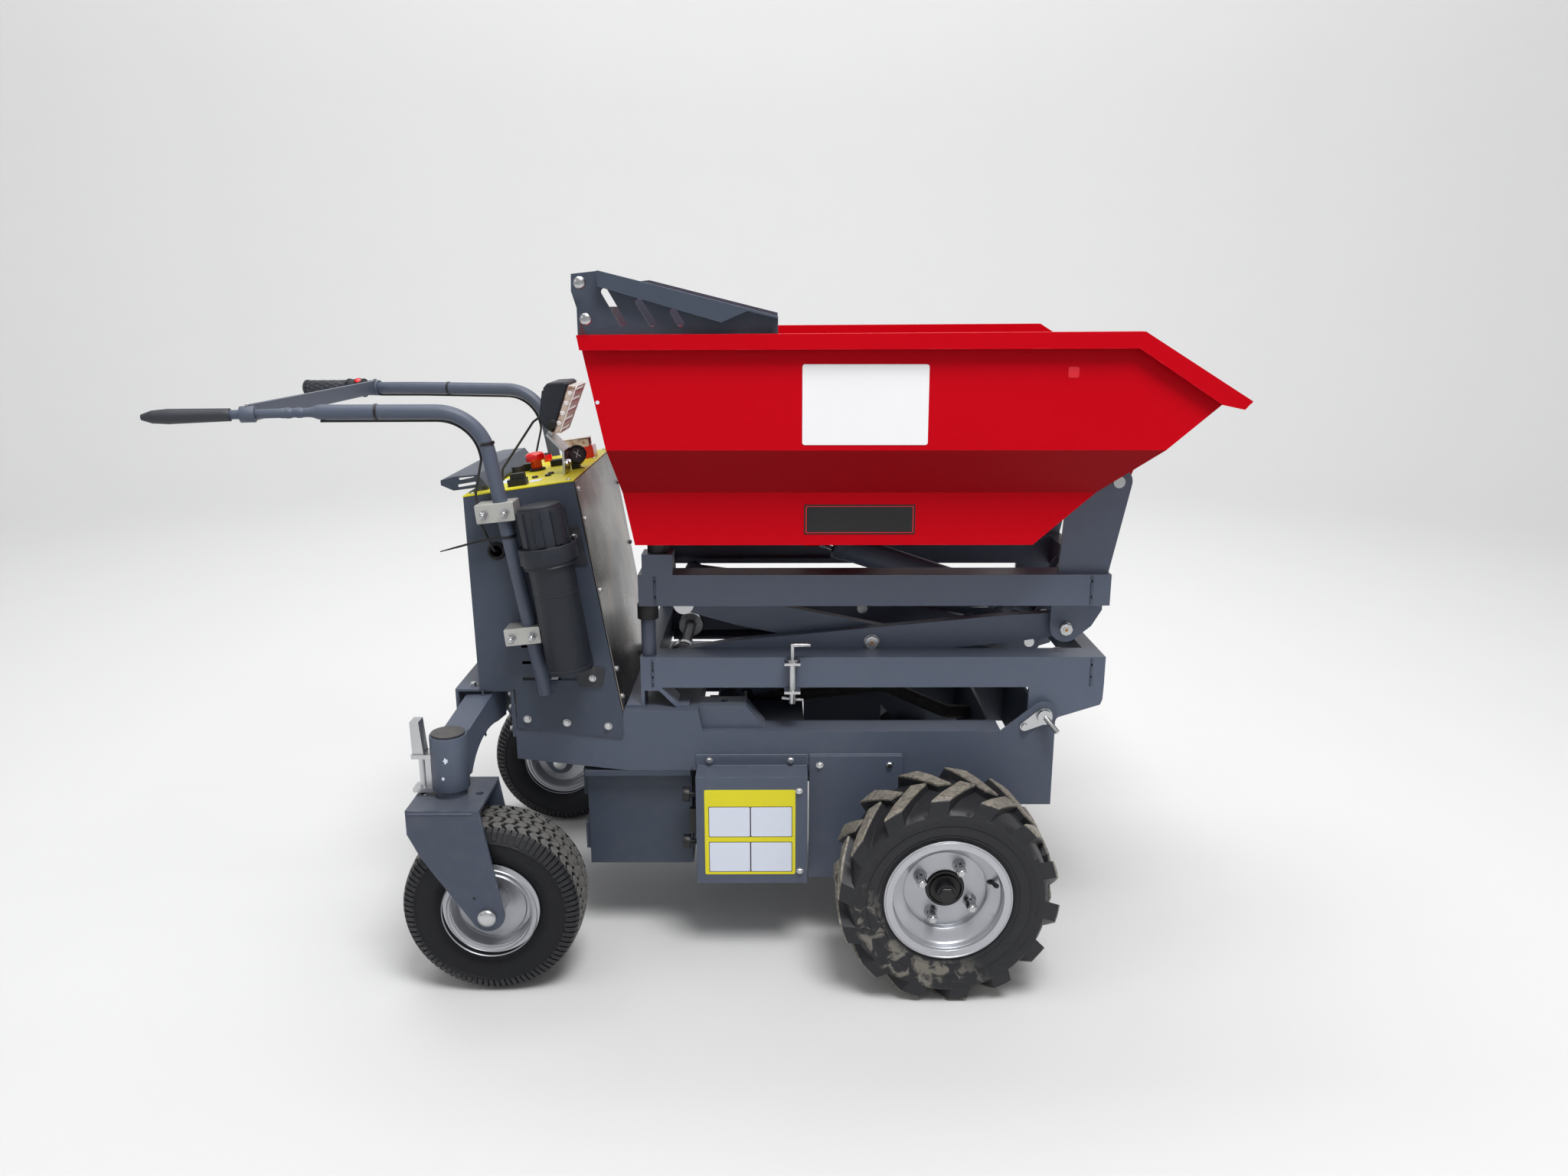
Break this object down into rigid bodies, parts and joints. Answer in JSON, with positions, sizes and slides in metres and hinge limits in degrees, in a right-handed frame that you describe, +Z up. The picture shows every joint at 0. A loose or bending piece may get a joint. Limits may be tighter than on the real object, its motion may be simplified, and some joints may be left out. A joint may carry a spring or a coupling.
{
  "type": "site dumper",
  "caption": "Walk-behind electric site dumper: steel skip that tips forward on a scissor-lift frame, driven lugged wheels in front, swivelling castors and handlebars behind.",
  "frame": {"origin": "on the ground, under the middle of the machine's length and width", "axes": "+X forward, the way the skip tips; +Y to the left; +Z up"},
  "size_m": [1.853, 0.909, 1.285],
  "materials": {
    "skip_paint": "gloss red paint",
    "frame_paint": "satin slate-grey powder coat",
    "bright_steel": "bright sheet steel",
    "panel_paint": "yellow panel",
    "zinc": "bright zinc plating",
    "chrome": "polished piston rod",
    "tyre": "black rubber",
    "rim_paint": "silver paint",
    "rubber": "matt black rubber",
    "black_plastic": "moulded black plastic",
    "red_plastic": "gloss red plastic",
    "clear_plastic": "clear lamp lens"
  },
  "bodies": {
    "chassis": {"chassis": "frame_paint", "rear_beam": "frame_paint", "outrigger_beam": "frame_paint", "sleeve_caps": "frame_paint", "swivel_locks": "zinc", "battery_box": "frame_paint", "power_unit_box": "frame_paint", "drive_covers": "frame_paint", "transaxle": "frame_paint", "lower_frame": "frame_paint", "chassis_pins": "zinc", "rest_posts": "frame_paint", "rest_caps": "rubber", "lock_pins": "zinc", "lower_pins": "zinc", "hoses": "rubber", "power_box_knobs": "black_plastic", "control_box": "frame_paint", "front_panel": "bright_steel", "control_panel": "panel_paint", "panel_controls": "red_plastic", "panel_switches": "black_plastic", "work_lamp": "black_plastic", "lamp_lens": "clear_plastic", "lamp_bracket": "zinc", "rear_tray": "frame_paint", "handlebars": "frame_paint", "handle_crossbar": "frame_paint", "grips": "rubber", "handle_clamps": "zinc", "document_tube": "black_plastic", "tube_brackets": "black_plastic"},
    "inner_arms": {"inner_arms": "frame_paint", "upper_rollers": "zinc"},
    "outer_arms": {"outer_arms": "frame_paint", "lower_rollers": "zinc", "centre_pins": "zinc"},
    "upper_frame": {"upper_frame": "frame_paint", "upper_pins": "zinc", "skip_buffers": "rubber"},
    "skip": {"skip": "skip_paint", "spill_guard": "frame_paint"},
    "lift_barrel": {"lift_barrel": "frame_paint"},
    "lift_rod": {"lift_rod": "chrome"},
    "tip_barrel": {"tip_barrel": "frame_paint"},
    "tip_rod": {"tip_rod": "chrome"},
    "drive_wheel_near": {"drive_tyre_near": "tyre", "drive_rim_near": "rim_paint", "drive_hub_near": "zinc"},
    "castor_fork_near": {"castor_fork_near": "frame_paint", "castor_pin_near": "zinc"},
    "castor_wheel_near": {"castor_tyre_near": "tyre", "castor_rim_near": "rim_paint"},
    "drive_wheel_far": {"drive_tyre_far": "tyre", "drive_rim_far": "rim_paint", "drive_hub_far": "zinc"},
    "castor_fork_far": {"castor_fork_far": "frame_paint", "castor_pin_far": "zinc"},
    "castor_wheel_far": {"castor_tyre_far": "tyre", "castor_rim_far": "rim_paint"}
  },
  "joints": [
    {"name": "lift", "type": "hinge", "parent": "chassis", "child": "inner_arms", "pos_m": [0.69125, 0, 0.51836], "axis": [0, 1, 0], "range_deg": [0, 37.8]},
    {"name": "scissor", "type": "hinge", "parent": "inner_arms", "child": "outer_arms", "pos_m": [0.326, 0, 0.594], "axis": [0, 1, 0], "range_deg": [-74, 0]},
    {"name": "upper_frame_level", "type": "hinge", "parent": "outer_arms", "child": "upper_frame", "pos_m": [0.69728, 0, 0.62975], "axis": [0, 1, 0], "range_deg": [0, 36]},
    {"name": "lift_cylinder", "type": "hinge", "parent": "chassis", "child": "lift_barrel", "pos_m": [0.047, 0, 0.45], "axis": [0, 1, 0], "range_deg": [-7, 0]},
    {"name": "lift_rod_slide", "type": "slide", "parent": "lift_barrel", "child": "lift_rod", "axis": [0.9651, 0, 0.2617], "range_m": [0, 0.092]},
    {"name": "skip_tip", "type": "hinge", "parent": "upper_frame", "child": "skip", "pos_m": [0.772, 0, 0.915], "axis": [0, 1, 0], "range_deg": [0, 65]},
    {"name": "tip_cylinder", "type": "hinge", "parent": "upper_frame", "child": "tip_barrel", "pos_m": [0.687, 0, 0.617], "axis": [0, 1, 0], "range_deg": [0, 55]},
    {"name": "tip_rod_slide", "type": "slide", "parent": "tip_barrel", "child": "tip_rod", "axis": [-0.9489, 0, 0.3156], "range_m": [0, 0.325]},
    {"name": "drive_wheel_near_spin", "type": "hinge", "parent": "chassis", "child": "drive_wheel_near", "pos_m": [0.447, -0.3775, 0.2], "axis": [0, 1, 0], "continuous": true},
    {"name": "castor_near_swivel", "type": "hinge", "parent": "chassis", "child": "castor_fork_near", "pos_m": [-0.449, -0.355, 0.37], "axis": [0, 0, 1], "continuous": true},
    {"name": "castor_near_spin", "type": "hinge", "parent": "castor_fork_near", "child": "castor_wheel_near", "pos_m": [-0.379, -0.355, 0.165], "axis": [0, 1, 0], "continuous": true},
    {"name": "drive_wheel_far_spin", "type": "hinge", "parent": "chassis", "child": "drive_wheel_far", "pos_m": [0.447, 0.3775, 0.2], "axis": [0, 1, 0], "continuous": true},
    {"name": "castor_far_swivel", "type": "hinge", "parent": "chassis", "child": "castor_fork_far", "pos_m": [-0.449, 0.355, 0.37], "axis": [0, 0, 1], "continuous": true},
    {"name": "castor_far_spin", "type": "hinge", "parent": "castor_fork_far", "child": "castor_wheel_far", "pos_m": [-0.379, 0.355, 0.165], "axis": [0, 1, 0], "continuous": true}
  ],
  "couplings": [
    {"joint": "scissor", "follows": "lift", "ratio": -1.934},
    {"joint": "upper_frame_level", "follows": "lift", "ratio": 0.934},
    {"joint": "lift_cylinder", "follows": "lift", "ratio": -0.156},
    {"joint": "lift_rod_slide", "follows": "lift", "m_per_rad": 0.1347},
    {"joint": "tip_cylinder", "follows": "skip_tip", "ratio": 0.802},
    {"joint": "tip_rod_slide", "follows": "skip_tip", "m_per_rad": 0.2765}
  ]
}
